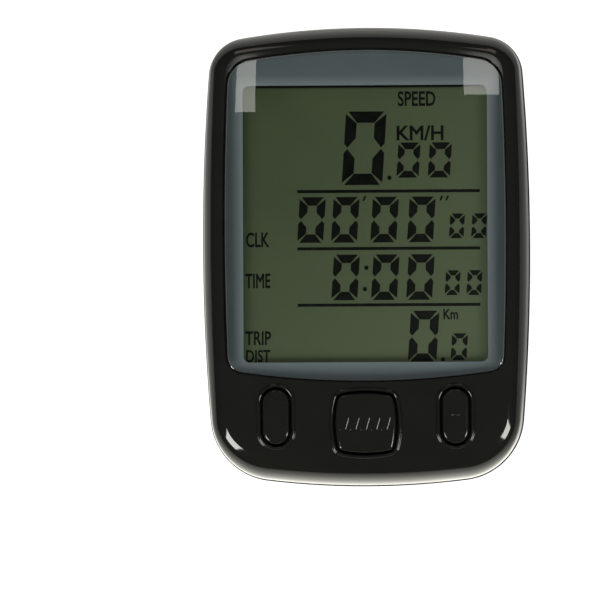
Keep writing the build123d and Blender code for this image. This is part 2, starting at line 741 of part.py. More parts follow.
write(make_button_mat(), "button_mat")
board_screws = make_screws(
    BOARD_SCREW_X, BOARD_SCREW_Y, BOARD_Z, BOARD_SCREW_END_Z, BOARD_SCREW_R, BOARD_HEAD_R, BOARD_HEAD_T
)
write(board_screws, "board_screws")
write(make_back_shell(), "back_shell")
write(make_gasket(), "case_gasket")
case_screws = make_screws(
    CASE_SCREW_X, CASE_SCREW_Y, CASE_HEAD_Z, CASE_SCREW_END_Z, CASE_SCREW_R, CASE_HEAD_R, CASE_HEAD_T
)
write(case_screws, "case_screws")
write(make_battery_cover(), "battery_cover")
write(make_cover_seal(), "battery_cover_seal")
write(make_coin_cell(), "coin_cell")
write(make_negative_contact(), "negative_contact")
write(make_positive_contact(), "positive_contact")
write(make_bracket_contacts(), "bracket_contacts")
write(make_contact_leaves(), "contact_leaves")
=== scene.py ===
"""Looks of a cycling computer: glossy black case, clear window, display, buttons and back."""

import math

import bmesh
import bpy
import numpy as np
from mathutils import Matrix, Vector
from mathutils.geometry import delaunay_2d_cdt


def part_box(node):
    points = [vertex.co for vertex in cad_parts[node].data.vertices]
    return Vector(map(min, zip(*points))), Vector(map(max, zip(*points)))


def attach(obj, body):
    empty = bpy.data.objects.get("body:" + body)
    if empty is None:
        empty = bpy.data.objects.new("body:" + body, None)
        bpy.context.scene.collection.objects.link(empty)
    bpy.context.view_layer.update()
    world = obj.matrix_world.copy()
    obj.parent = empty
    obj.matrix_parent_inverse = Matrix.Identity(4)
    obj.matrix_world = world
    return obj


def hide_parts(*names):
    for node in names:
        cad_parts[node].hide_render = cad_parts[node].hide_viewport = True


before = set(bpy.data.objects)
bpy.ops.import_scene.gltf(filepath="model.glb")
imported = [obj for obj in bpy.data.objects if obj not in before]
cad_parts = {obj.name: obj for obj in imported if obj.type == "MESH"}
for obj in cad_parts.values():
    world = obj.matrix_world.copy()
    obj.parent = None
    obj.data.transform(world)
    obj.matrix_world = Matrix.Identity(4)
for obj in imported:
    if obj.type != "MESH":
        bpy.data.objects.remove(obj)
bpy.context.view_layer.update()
MM = 0.001

# ---------------------------------------------------------------- shapes shared with the frame

LENS_LOW, LENS_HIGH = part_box("window_lens")
BORDER_LOW, BORDER_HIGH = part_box("window_border")
DISPLAY_LOW, DISPLAY_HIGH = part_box("lcd_front_polariser")
SEAM_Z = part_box("front_shell")[0].z
CASE_TOP = 16.0 * MM
CROWN_R = 280.0 * MM
DOME_CENTRE = CASE_TOP - CROWN_R
CASE_SHAPE = {
    "half_w": 19.7 * MM, "side_r": 264.0 * MM, "waist_y": 1.5 * MM,
    "top_y": 27.6 * MM, "top_r": 94.7 * MM, "top_corner_r": 4.7 * MM,
    "base_y": -27.6 * MM, "base_r": 96.9 * MM, "base_corner_r": 7.9 * MM,
}
LENS_SHAPE = {
    "half_w": 16.88 * MM, "side_r": 390.0 * MM, "waist_y": 3.0 * MM,
    "top_y": LENS_HIGH.y, "top_r": 81.5 * MM, "top_corner_r": 3.2 * MM,
    "base_y": LENS_LOW.y, "base_r": 104.4 * MM, "base_corner_r": 2.0 * MM,
}
LENS_GAP = 0.1 * MM
LENS_SINK = 0.06 * MM  # the window lies this much below the front
LEDGE_Z = BORDER_LOW.z
VIEW_LOW = (-14.6 * MM, -12.7 * MM)  # the border's opening over the display
VIEW_HIGH = (14.6 * MM, 20.4 * MM)
LEDGE_T = 1.0 * MM
CEILING_Z = 13.75 * MM
WALL = 1.5 * MM
LEAN = 11.2  # the side leans in by LEAN times the square of the height over the seam
SIDE_ROUND_START = 5.0 * MM  # height over the seam at which the side starts to round over
END_ROUND_START = 2.7 * MM
ROUND_IN = 2.4 * MM  # the rounding ends this far in from the outline
BASE_ROUND_MORE = 0.9 * MM
ROUND_FULLNESS = 0.75
BUTTON_GAP = 0.3 * MM
LIP_W = 0.42 * MM
LIP_H = 0.26 * MM
SEAM_STEP = 0.14 * MM  # the back shell stands out this much further than the front one
CAP_PROUD = 0.44 * MM
CAP_EDGE_R = 0.3 * MM
CAP_FOOT_Z = 13.68 * MM  # the cap's wall stands on its flange here
FLANGE_Z = 13.06 * MM
FLANGE_W = 0.6 * MM
FLOOR_Z = 2.4 * MM  # the back's flat floor, which the rails hang from
FLOOR_EDGE_R = 1.8 * MM
INNER_Z = 3.9 * MM
COVER_CENTRE = (0.0, -3.5 * MM)
COVER_R = 11.6 * MM
COVER_GAP = 0.15 * MM
COVER_TOP_Z = 3.7 * MM
SCREW_X, SCREW_Y, SCREW_HOLE_R = 6.6 * MM, -23.3 * MM, 1.55 * MM
PAD_X, PAD_Y, PAD_HOLE_R = 3.6 * MM, 16.5 * MM, 1.65 * MM


def dome_z(x, y, sink=0.0):
    """Height of the crowned front."""
    return DOME_CENTRE - sink + np.sqrt(CROWN_R**2 - np.square(x) - np.square(y))


def dome_normals(xy):
    """Unit normals of the crowned front."""
    xy = np.asarray(xy)
    up = np.sqrt(CROWN_R**2 - np.sum(np.square(xy), axis=1))
    return np.column_stack([xy, up]) / CROWN_R


# ---------------------------------------------------------------- outlines

def arc(centre, radius, start, end, steps):
    """Points and outward normals along an arc, its last point left out."""
    turn = np.linspace(start, end, steps, endpoint=False)
    normals = np.column_stack([np.cos(turn), np.sin(turn)])
    return np.array(centre) + radius * normals, normals


def joined(arcs):
    points, normals = zip(*arcs)
    return np.concatenate(points), np.concatenate(normals)


def bearing(origin, point):
    return math.atan2(point[1] - origin[1], point[0] - origin[0])


def corner_centre(long_arc, side_arc, corner_r):
    """Centre of the rounding that fits inside the top or base arc and the right side arc."""
    (x0, y0), r0 = long_arc[0], long_arc[1] - corner_r
    (x1, y1), r1 = side_arc[0], side_arc[1] - corner_r
    apart = math.hypot(x1 - x0, y1 - y0)
    along = (r0**2 - r1**2 + apart**2) / (2 * apart)
    off = math.sqrt(r0**2 - along**2)
    ux, uy = (x1 - x0) / apart, (y1 - y0) / apart
    found = [(x0 + along * ux - s * off * uy, y0 + along * uy + s * off * ux) for s in (-1, 1)]
    return max(found)


def four_arcs(shape, long_steps=44, corner_steps=40):
    """The rounded outline of the case, the window or the middle button, as points and normals."""
    top = ((0, shape["top_y"] - shape["top_r"]), shape["top_r"])
    base = ((0, shape["base_y"] + shape["base_r"]), shape["base_r"])
    side = ((shape["half_w"] - shape["side_r"], shape["waist_y"]), shape["side_r"])
    high = corner_centre(top, side, shape["top_corner_r"])
    low = corner_centre(base, side, shape["base_corner_r"])
    side_low, side_high = bearing(side[0], low), bearing(side[0], high)
    top_right, base_right = bearing(top[0], high), bearing(base[0], low)
    low_left, high_left = (-low[0], low[1]), (-high[0], high[1])
    left = ((-side[0][0], side[0][1]), side[1])
    turn = math.pi
    return joined([
        arc(side[0], side[1], side_low, side_high, long_steps),
        arc(high, shape["top_corner_r"], side_high, top_right, corner_steps),
        arc(top[0], top[1], top_right, turn - top_right, long_steps),
        arc(high_left, shape["top_corner_r"], turn - top_right, turn - side_high, corner_steps),
        arc(left[0], left[1], turn - side_high, turn - side_low, long_steps),
        arc(low_left, shape["base_corner_r"], turn - side_low, turn - base_right, corner_steps),
        arc(base[0], base[1], -turn - base_right, base_right, long_steps),
        arc(low, shape["base_corner_r"], base_right, side_low, corner_steps),
    ])


def stadium(x, y, half_w, half_l, steps=32):
    """A pill outline with its length along Y."""
    reach = half_l - half_w
    return joined([
        arc((x, y + reach), half_w, 0, math.pi, steps),
        arc((x, y + reach), half_w, math.pi, math.pi, 1),
        arc((x, y - reach), half_w, math.pi, 2 * math.pi, steps),
        arc((x, y - reach), half_w, 2 * math.pi, 2 * math.pi, 1),
    ])


def rounded_box(low, high, radius, steps=10):
    """A rectangle with round corners."""
    corners = [(high[0] - radius, high[1] - radius), (low[0] + radius, high[1] - radius),
               (low[0] + radius, low[1] + radius), (high[0] - radius, low[1] + radius)]
    return joined([arc(c, radius, i * math.pi / 2, (i + 1) * math.pi / 2, steps)
                   for i, c in enumerate(corners)])


def circle(x, y, radius, steps=64):
    return arc((x, y), radius, 0, 2 * math.pi, steps)


def grown(outline, by):
    """The points of an outline let out by a distance, or pulled in if it is negative."""
    points, normals = outline
    return points + normals * by


def inside(points, ring):
    """For each point, whether it lies inside the closed ring."""
    x, y = points[:, :1], points[:, 1:2]
    x0, y0 = ring[:, 0], ring[:, 1]
    x1, y1 = np.roll(x0, -1), np.roll(y0, -1)
    crosses = (y0 > y) != (y1 > y)
    at = (x1 - x0) * (y - y0) / np.where(y1 == y0, 1, y1 - y0) + x0
    return np.sum(crosses & (x < at), axis=1) % 2 == 1


# ---------------------------------------------------------------- mesh building

def flat(z):
    """A level surface at one height, for Skin.fill."""
    return lambda x, y: np.full(len(x), z)


class Skin:
    """A mesh under construction, made of rings joined by strips and of filled areas."""

    def __init__(self):
        self.points = []
        self.normals = {}
        self.faces = []
        self.paint = []
        self.colour = 0

    def ring(self, xy, z, normals=None):
        """Adds a closed ring and returns the numbers of its points."""
        first = len(self.points)
        heights = np.broadcast_to(z, len(xy))
        self.points += [(float(x), float(y), float(h)) for (x, y), h in zip(xy, heights)]
        numbers = list(range(first, len(self.points)))
        if normals is not None:
            self.normals.update(zip(numbers, normals))
        return numbers

    def face(self, *corners):
        self.faces.append(corners)
        self.paint.append(self.colour)

    def strip(self, a, b):
        for i in range(len(a)):
            j = (i + 1) % len(a)
            self.face(a[i], a[j], b[j], b[i])

    def rings(self, sections):
        """Joins rings one after another. Each section is (xy, z) or (xy, z, normals)."""
        made = [self.ring(*section) for section in sections]
        for a, b in zip(made, made[1:]):
            self.strip(a, b)
        return made[0], made[-1]

    def fill(self, outer, holes, height, spacing, normals=None):
        """Fills the area inside one ring and outside others, on the surface height(x, y)."""
        known = [i for ring in [outer, *holes] for i in ring]
        known_xy = np.array([self.points[i][:2] for i in known])
        rings = [np.array([self.points[i][:2] for i in ring]) for ring in [outer, *holes]]
        low, high = rings[0].min(0), rings[0].max(0)
        row = spacing * math.sqrt(3) / 2
        ys = np.arange(low[1] + row / 2, high[1], row)
        xs = np.arange(low[0] + spacing / 4, high[0], spacing)
        grid = np.array([(x + (i % 2) * spacing / 2, y) for i, y in enumerate(ys) for x in xs])
        if len(grid):
            keep = inside(grid, rings[0])
            for hole in rings[1:]:
                keep &= ~inside(grid, hole)
            grid = grid[keep]
        if len(grid):
            apart = [np.min(np.sum(np.square(known_xy - p), axis=1)) for p in grid]
            grid = grid[np.array(apart) > (0.6 * spacing) ** 2]
        numbers = list(known)
        if len(grid):
            up = normals(grid) if normals else None
            numbers += self.ring(grid, height(grid[:, 0], grid[:, 1]), up)
        scale = 1 / MM  # the triangulation works on numbers near one
        everything = np.concatenate([known_xy, grid]) if len(grid) else known_xy
        edges = []
        first = 0
        for ring in [outer, *holes]:
            edges += [(first + i, first + (i + 1) % len(ring)) for i in range(len(ring))]
            first += len(ring)
        made = delaunay_2d_cdt([Vector(p * scale) for p in everything], edges, [], 0, 1e-7)
        origin = made[3]
        triangles = [[origin[i][0] for i in t] for t in made[2] if all(origin[i] for i in t)]
        middles = np.array([everything[t].mean(0) for t in triangles])
        keep = inside(middles, rings[0])
        for hole in rings[1:]:
            keep &= ~inside(middles, hole)
        for triangle, kept in zip(triangles, keep):
            if kept:
                self.face(*[numbers[i] for i in triangle])

    def build(self, name, materials, sharp=40.0):
        mesh = bpy.data.meshes.new(name)
        mesh.from_pydata(self.points, [], self.faces)
        mesh.polygons.foreach_set("material_index", self.paint)
        shape = bmesh.new()
        shape.from_mesh(mesh)
        bmesh.ops.recalc_face_normals(shape, faces=shape.faces)
        shape.to_mesh(mesh)
        shape.free()
        mesh.shade_smooth()
        mesh.set_sharp_from_angle(angle=math.radians(sharp))
        if self.normals:
            self.true_normals(mesh)
        for material in materials:
            mesh.materials.append(material)
        piece = bpy.data.objects.new(name, mesh)
        bpy.context.scene.collection.objects.link(piece)
        return piece

    def true_normals(self, mesh):
        """Shades smooth areas by their exact normals, and leaves other corners as they are."""
        corner = np.empty(len(mesh.loops), dtype=np.int32)
        mesh.loops.foreach_get("vertex_index", corner)
        made = np.empty(3 * len(mesh.loops), dtype=np.float32)
        mesh.corner_normals.foreach_get("vector", made)
        made = made.reshape(-1, 3)
        exact = np.zeros((len(self.points), 3))
        exact[list(self.normals)] = list(self.normals.values())
        exact = exact[corner]
        alike = np.sum(exact * made, axis=1) > 0.7
        made[alike] = exact[alike]
        mesh.normals_split_custom_set(made.tolist())


def edge_normals(outline, turn, way=1):
    """Normals of a round edge that meets the crowned front; way is -1 round a hole."""
    points, normals = outline
    level = np.column_stack([normals * way * math.cos(turn), np.zeros(len(points))])
    both = level + dome_normals(points) * math.sin(turn)
    return both / np.linalg.norm(both, axis=1)[:, None]


def adopt(piece, body, slot, *nodes):
    """The piece rides on a body and stands for CAD nodes; its slot is not used."""
    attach(piece, body)
    if nodes:
        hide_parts(*nodes)


# ---------------------------------------------------------------- materials

STAGE_WHITE = 0.95  # how bright the camera sees the floor and the surround


class Nodes:
    """Adds shader nodes to a tree. place is the position that its patterns follow."""

    def __init__(self, tree, coordinates):
        self.tree = tree
        self.place = self.add("ShaderNodeTexCoord").outputs[coordinates]

    def add(self, kind, **values):
        node = self.tree.nodes.new(kind)
        for key, value in values.items():
            if key in node.inputs:
                node.inputs[key].default_value = value
            else:
                setattr(node, key, value)
        return node

    def link(self, a, b):
        self.tree.links.new(a, b)

    def feed(self, value, socket):
        """Gives a socket a number, or links another node's output to it."""
        if isinstance(value, bpy.types.NodeSocket):
            self.link(value, socket)
        else:
            socket.default_value = value

    def noise(self, scale, detail=3.0):
        node = self.add("ShaderNodeTexNoise", Scale=scale, Detail=detail)
        self.link(self.place, node.inputs["Vector"])
        return node.outputs["Fac"]

    def blend(self, factor, a, b):
        """Mixes two colours, each a colour or another node's output."""
        node = self.add("ShaderNodeMix", data_type="RGBA")
        self.link(factor, node.inputs[0])
        for colour, socket in ((a, node.inputs[6]), (b, node.inputs[7])):
            self.feed((*colour, 1) if isinstance(colour, tuple) else colour, socket)
        return node.outputs[2]

    def span(self, value, low, high, to_low=0.0, to_high=1.0, smooth=False):
        node = self.add("ShaderNodeMapRange")
        if smooth:
            node.interpolation_type = "SMOOTHSTEP"
        self.link(value, node.inputs["Value"])
        limits = {"From Min": low, "From Max": high, "To Min": to_low, "To Max": to_high}
        for key, number in limits.items():
            node.inputs[key].default_value = number
        return node.outputs["Result"]

    def axes(self, vector=None):
        node = self.add("ShaderNodeSeparateXYZ")
        self.link(vector or self.place, node.inputs[0])
        return node.outputs

    def calc(self, operation, *values):
        """Arithmetic on one or two values, each a number or another node's output."""
        node = self.add("ShaderNodeMath", operation=operation)
        for value, socket in zip(values, node.inputs):
            self.feed(value, socket)
        return node.outputs[0]

    def times(self, first, *others):
        for other in others:
            first = self.calc("MULTIPLY", first, other)
        return first

    def camera_ray(self):
        return self.add("ShaderNodeLightPath").outputs["Is Camera Ray"]

    def white_or(self, glow):
        """White where the camera sees the stage itself, and the given glow in reflections."""
        node = self.add("ShaderNodeMix")
        self.link(self.camera_ray(), node.inputs[0])
        self.link(glow, node.inputs[2])
        node.inputs[3].default_value = STAGE_WHITE
        return node.outputs[0]


class Paint(Nodes):
    """Builds one procedural material around a Principled shader."""

    def __init__(self, name, **sockets):
        self.material = bpy.data.materials.new(name)
        self.material.use_nodes = True
        super().__init__(self.material.node_tree, "Object")
        self.shader = self.tree.nodes["Principled BSDF"]
        self.output = self.tree.nodes["Material Output"]
        for key, value in sockets.items():
            self.shader.inputs[key.replace("_", " ")].default_value = value

    def bump(self, height, depth):
        node = self.add("ShaderNodeBump", Strength=1.0, Distance=depth)
        self.link(height, node.inputs["Height"])
        self.link(node.outputs[0], self.shader.inputs["Normal"])

    def set(self, socket, value):
        self.link(value, self.shader.inputs[socket])


def shade(colour, by):
    return tuple(c * by for c in colour)


def plastic(name, colour, roughness, grain, depth, tone=0.15, **sockets):
    """Moulded plastic or rubber: faint mottling, uneven gloss and a fine grain."""
    paint = Paint(name, **sockets)
    paint.set("Base Color", paint.blend(paint.noise(180), shade(colour, 1 - tone), shade(colour, 1 + tone)))
    paint.set("Roughness", paint.span(paint.noise(420, 4), 0.3, 0.7, roughness * 0.8, roughness * 1.2))
    paint.bump(paint.noise(grain, 2), depth)
    return paint.material


def metal(name, colour, roughness):
    """Stamped or turned metal with faint brushing."""
    paint = Paint(name, Metallic=1.0)
    stretch = paint.add("ShaderNodeMapping")
    stretch.inputs["Scale"].default_value = (1, 12, 1)
    paint.link(paint.place, stretch.inputs["Vector"])
    paint.place = stretch.outputs[0]
    brushed = paint.noise(700, 3)
    paint.set("Base Color", paint.blend(brushed, shade(colour, 0.9), shade(colour, 1.08)))
    paint.set("Roughness", paint.span(brushed, 0.3, 0.7, roughness * 0.8, roughness * 1.25))
    paint.bump(brushed, 0.01 * MM)
    return paint.material


def clear(name, gloss):
    """Clear acrylic. gloss is how much it mirrors face on; at a glancing angle it mirrors fully."""
    paint = Paint(name, Metallic=1.0)
    paint.set("Base Color", paint.blend(paint.noise(300), (0.96, 0.97, 0.97), (1, 1, 1)))
    paint.set("Roughness", paint.span(paint.noise(900, 4), 0.3, 0.8, 0.008, 0.016))
    glancing = paint.add("ShaderNodeLayerWeight", Blend=0.5).outputs["Facing"]
    share = paint.span(paint.calc("POWER", glancing, 5.0), 0.0, 1.0, gloss, 1.0)
    through = paint.add("ShaderNodeBsdfTransparent")
    mix = paint.add("ShaderNodeMixShader")
    paint.link(share, mix.inputs[0])
    paint.link(through.outputs[0], mix.inputs[1])
    paint.link(paint.shader.outputs[0], mix.inputs[2])
    paint.link(mix.outputs[0], paint.output.inputs["Surface"])
    return paint.material


def display_material():
    """Dark olive liquid crystal cell with painted shade: darker towards the left and the top, paler towards
    the right and the bottom, and a painted shadow under the border's top edge.
    """
    paint = Paint("display_cell_and_painted_shade", Roughness=0.55, Specular_IOR_Level=0.05)
    x, y, _ = paint.axes()
    # painted shade: the olive darkens towards the left and the top
    across = paint.span(x, DISPLAY_LOW.x, DISPLAY_HIGH.x, 0.0, 0.55)
    down = paint.span(y, DISPLAY_HIGH.y, DISPLAY_LOW.y, 0.0, 0.6)
    olive = paint.blend(paint.calc("ADD", across, down), (0.026, 0.040, 0.018), (0.068, 0.090, 0.053))
    cloud = paint.span(paint.noise(90, 3), 0.3, 0.7, 0.0, 0.3)
    olive = paint.blend(cloud, olive, (0.062, 0.074, 0.040))
    # painted shadow: a near-black band where the border's top edge shades the cell
    painted_shadow_line = paint.span(y, 20.12 * MM, 20.22 * MM)
    paint.set("Base Color", paint.blend(painted_shadow_line, olive, (0.004, 0.005, 0.004)))
    paint.bump(paint.noise(5000, 2), 0.002 * MM)
    return paint.material


FADE_W = 1.6 * MM  # how far from the opening the border's painted light, its paler tone, reaches


def border_material():
    """Blue-grey printed film with painted light: paler towards the display and along the foot."""
    paint = Paint("printed_border_and_painted_light", Specular_IOR_Level=0.1)
    x, y, _ = paint.axes()
    half_w, half_l = VIEW_HIGH[0], (VIEW_HIGH[1] - VIEW_LOW[1]) / 2
    beside_x = paint.calc("ABSOLUTE", x)
    beside_y = paint.calc("ABSOLUTE", paint.calc("SUBTRACT", y, VIEW_HIGH[1] - half_l))
    # painted light: the printed tone pales towards the opening, along the foot and a little in the band
    # over the opening
    close_x = paint.span(beside_x, half_w + FADE_W, half_w)
    close_y = paint.span(beside_y, half_l + FADE_W, half_l)
    close = paint.calc("MINIMUM", close_x, close_y)
    top = paint.span(y, 20 * MM, 22 * MM, smooth=True)
    foot = paint.span(y, -12 * MM, -13 * MM, smooth=True)
    tone = paint.blend(top, (0.047, 0.062, 0.066), (0.057, 0.074, 0.078))
    tone = paint.blend(foot, tone, (0.090, 0.110, 0.114))
    edge = paint.span(close, 0.2, 1.0)
    tone = paint.blend(edge, tone, (0.112, 0.140, 0.146))
    cloud = paint.span(paint.noise(120, 4), 0.3, 0.7, 0.0, 0.2)
    paint.set("Base Color", paint.blend(cloud, tone, (0.08, 0.10, 0.11)))
    paint.set("Roughness", paint.span(paint.noise(1500, 3), 0.3, 0.7, 0.4, 0.55))
    paint.bump(paint.noise(9000, 2), 0.003 * MM)
    return paint.material


def segment_material():
    """Dark liquid crystal with painted light: a little paler towards the right and the bottom, as the cell
    is.
    """
    paint = Paint("dark_segments_and_painted_light", Roughness=0.7, Specular_IOR_Level=0.02)
    x, y, _ = paint.axes()
    # painted light: the segments pale towards the right and the bottom
    across = paint.span(x, 0.0, DISPLAY_HIGH.x, 0.0, 0.5)
    down = paint.span(y, 10 * MM, DISPLAY_LOW.y, 0.0, 0.5)
    both = paint.calc("ADD", across, down)
    tone_with_painted_light = paint.blend(both, (0.002, 0.003, 0.0025), (0.008, 0.010, 0.008))
    mottle = paint.span(paint.noise(700, 4), 0.35, 0.7, 0.0, 0.04)
    paint.set("Base Color", paint.blend(mottle, tone_with_painted_light, (0.05, 0.06, 0.045)))
    paint.bump(paint.noise(4000, 2), 0.001 * MM)
    return paint.material


BLACK = (0.0098, 0.0102, 0.0088)
GLOSS = plastic("gloss_black_plastic", BLACK, 0.07, 900, 0.0008 * MM)
CAP_GLOSS = plastic("gloss_black_button", BLACK, 0.10, 1200, 0.001 * MM)
SATIN = plastic("satin_black_plastic", (0.022, 0.022, 0.022), 0.42, 9000, 0.02 * MM)
CLEAR_TOP = clear("clear_window_front", 0.045)
CLEAR_BACK = clear("clear_window_back", 0.008)
SEGMENT_INK = segment_material()

# ---------------------------------------------------------------- front shell

CASE = four_arcs(CASE_SHAPE)
LENS = four_arcs(LENS_SHAPE)
PILL_X = 10.7 * MM
PILL_Y = -19.2 * MM
PILL_HALF = (1.55 * MM, 3.25 * MM)
MIDDLE_Y = -19.96 * MM
MIDDLE_SHAPE = {
    "half_w": 3.6 * MM, "side_r": 11.6 * MM, "waist_y": MIDDLE_Y,
    "top_y": MIDDLE_Y + 3.55 * MM, "top_r": 14.3 * MM, "top_corner_r": 0.7 * MM,
    "base_y": MIDDLE_Y - 3.55 * MM, "base_r": 14.3 * MM, "base_corner_r": 0.7 * MM,
}
BUTTONS = {
    "left_button": stadium(-PILL_X, PILL_Y, *PILL_HALF),
    "middle_button": four_arcs(MIDDLE_SHAPE, 14, 12),
    "right_button": stadium(PILL_X, PILL_Y, *PILL_HALF),
}


def surface_normals(grid):
    """Unit normals of a grid of points: rings one above another, each closed along its length."""
    along = np.roll(grid, -1, axis=1) - np.roll(grid, 1, axis=1)
    across = np.gradient(grid, axis=0)
    out = np.cross(along, across)
    return out / np.linalg.norm(out, axis=2)[:, :, None]


def shell_side(points, normals):
    """Sections of the side and of the rounding up to the dome, with their normals.

    The side leans in with the square of the height. The rounding is a conic that leaves the side
    and meets the dome along their tangents; it is deeper at the two ends, most of all at the base.
    """
    end = normals[:, 1] ** 2
    base = np.maximum(-normals[:, 1], 0) ** 2
    start = SIDE_ROUND_START + (END_ROUND_START - SIDE_ROUND_START) * end
    last = ROUND_IN + BASE_ROUND_MORE * base
    levels = [(SEAM_STEP + LEAN * (start * share) ** 2, SEAM_Z + start * share)
              for share in np.linspace(0.04, 1, 8)]
    first, first_z = levels[-1]
    lean = 2 * LEAN * start
    inner = points - normals * last[:, None]
    inner_z = dome_z(inner[:, 0], inner[:, 1])
    slope = np.sum(inner * normals, axis=1) / (inner_z - DOME_CENTRE)
    corner = (first + lean * (inner_z - slope * last - first_z)) / (1 - lean * slope)
    corner_z = inner_z - slope * (last - corner)
    for share in np.linspace(0, 1, 18)[1:]:
        weights = ((1 - share) ** 2, 2 * ROUND_FULLNESS * share * (1 - share), share**2)
        inset = sum(w * v for w, v in zip(weights, (first, corner, last))) / sum(weights)
        height = sum(w * v for w, v in zip(weights, (first_z, corner_z, inner_z))) / sum(weights)
        levels.append((inset, height))
    grid = np.array([
        np.column_stack([points - normals * inset[:, None], height]) for inset, height in levels
    ])
    shading = surface_normals(grid)
    shading[-1] = dome_normals(inner)
    return [(ring[:, :2], ring[:, 2], up) for ring, up in zip(grid, shading)]


def lip_sections(outline):
    """A rounded rim round a button, from the front's surface in to the hole's wall."""
    points, normals = outline
    foot = points + normals * (BUTTON_GAP + LIP_W + 0.06 * MM)
    sections = [(foot, dome_z(foot[:, 0], foot[:, 1]), dome_normals(foot))]
    for turn in np.linspace(0.12, math.pi, 14):
        xy = points + normals * (BUTTON_GAP + LIP_W / 2 * (1 + math.cos(turn)))
        sections.append((xy, dome_z(xy[:, 0], xy[:, 1]) + LIP_H * math.sin(turn)))
    return sections


def make_front_shell():
    skin = Skin()
    points, normals = CASE
    under_z = LEDGE_Z - LEDGE_T
    foot = [
        (grown(CASE, -WALL), under_z),
        (grown(CASE, -WALL), SEAM_Z),
        (grown(CASE, -SEAM_STEP - 0.2 * MM), SEAM_Z),
        (grown(CASE, -SEAM_STEP - 0.2 * MM), SEAM_Z + 0.12 * MM),
        (grown(CASE, -SEAM_STEP - 0.04 * MM), SEAM_Z + 0.13 * MM),
        (grown(CASE, -SEAM_STEP - 0.01 * MM), SEAM_Z + 0.17 * MM),
    ]
    wall_top, edge = skin.rings(foot + shell_side(points, normals))
    # recess of the window, from the front down to the ledge and through it
    out = LENS_GAP
    soft = 0.07 * MM
    recess = []
    for turn in np.radians([90, 60, 30, 0]):
        xy = grown(LENS, out + soft * (1 - math.cos(turn)))
        z = dome_z(xy[:, 0], xy[:, 1]) - soft * (1 - math.sin(turn))
        recess.append((xy, z, edge_normals(LENS, turn, -1)))
    recess.append((grown(LENS, out), LEDGE_Z))
    recess_edge, seat = skin.rings(recess)
    rims, holes = [], []
    for outline in BUTTONS.values():
        wall = [(grown(outline, BUTTON_GAP), CEILING_Z)]
        rim, hole = skin.rings(lip_sections(outline) + wall)
        rims.append(rim)
        holes.append(hole)
    skin.fill(edge, [recess_edge, *rims], dome_z, 1.1 * MM, dome_normals)
    margin = 0.8 * MM
    low = (VIEW_LOW[0] - margin, VIEW_LOW[1] - margin)
    high = (VIEW_HIGH[0] + margin, VIEW_HIGH[1] + margin)
    opening = rounded_box(low, high, 0.6 * MM)
    window, window_low = skin.rings([(opening[0], LEDGE_Z), (opening[0], under_z)])
    skin.fill(seat, [window], flat(LEDGE_Z), 3 * MM)
    # space over the button mat, then the ceiling round it
    bay = rounded_box((-15.0 * MM, -24.2 * MM), (15.0 * MM, -15.7 * MM), 2.0 * MM)
    bay_top, bay_low = skin.rings([(bay[0], CEILING_Z), (bay[0], under_z)])
    skin.fill(bay_top, holes, flat(CEILING_Z), 2 * MM)
    skin.fill(wall_top, [window_low, bay_low], flat(under_z), 3 * MM)
    shell = skin.build("front_case_shell", [GLOSS])
    adopt(shell, "case", "front_plastic", "front_shell")


# ---------------------------------------------------------------- window and display

def make_lens():
    skin = Skin()
    edge_r = 0.22 * MM
    sections = [(grown(LENS, -0.03 * MM), LENS_LOW.z), (grown(LENS, 0), LENS_LOW.z + 0.03 * MM)]
    for turn in np.radians(np.linspace(0, 90, 8)):
        xy = grown(LENS, edge_r * (math.cos(turn) - 1))
        z = dome_z(xy[:, 0], xy[:, 1], LENS_SINK) - edge_r * (1 - math.sin(turn))
        sections.append((xy, z, edge_normals(LENS, turn)))
    under, crown = skin.rings(sections)
    skin.fill(crown, [], lambda x, y: dome_z(x, y, LENS_SINK), 1.1 * MM, dome_normals)
    skin.colour = 1
    skin.fill(under, [], flat(LENS_LOW.z), 3 * MM)
    lens = skin.build("window_lens_clear", [CLEAR_TOP, CLEAR_BACK])
    adopt(lens, "case", "clear_window", "window_lens")


def make_border():
    """The printed film under the window, open over the display, with a painted highlight along its outer
    edge, under the window's rounded edge.
    """
    skin = Skin()
    edge_in, highlight_in = 0.10 * MM, 0.23 * MM
    low_z, high_z = BORDER_LOW.z + 0.002 * MM, BORDER_HIGH.z - 0.002 * MM
    soft = 0.04 * MM
    outer = grown(LENS, -edge_in)
    # painted highlight: a pale band round the film's outer edge, for light caught by the window's edge
    skin.colour = 1
    under, rim = skin.rings([(outer, low_z), (outer, high_z), (grown(LENS, -highlight_in), high_z)])
    skin.colour = 0
    view = rounded_box(VIEW_LOW, VIEW_HIGH, 0.8 * MM)
    top, bottom = skin.rings([
        (grown(view, soft), high_z),
        (grown(view, soft / 4), high_z - soft / 4),
        (view[0], high_z - soft),
        (view[0], low_z),
    ])
    skin.fill(rim, [top], flat(high_z), 3 * MM)
    skin.fill(under, [bottom], flat(low_z), 3 * MM)
    # the pale band's finish is a painted highlight
    pale = plastic("painted_edge_highlight", (0.088, 0.102, 0.103), 0.5, 3000, 0.002 * MM)
    border = skin.build("printed_border_film", [border_material(), pale])
    adopt(border, "case", "border_print", "window_border")


SEGMENT_T = 0.03 * MM
SLANT = 0.066
DIGIT_GAP = 0.12 * MM


def prism(skin, outline, z, height):
    """A thin upright plate from a plain list of points."""
    xy = np.array(outline)
    low = skin.ring(xy, z)
    high = skin.ring(xy, z + height)
    skin.strip(low, high)
    skin.face(*low[::-1])
    skin.face(*high)


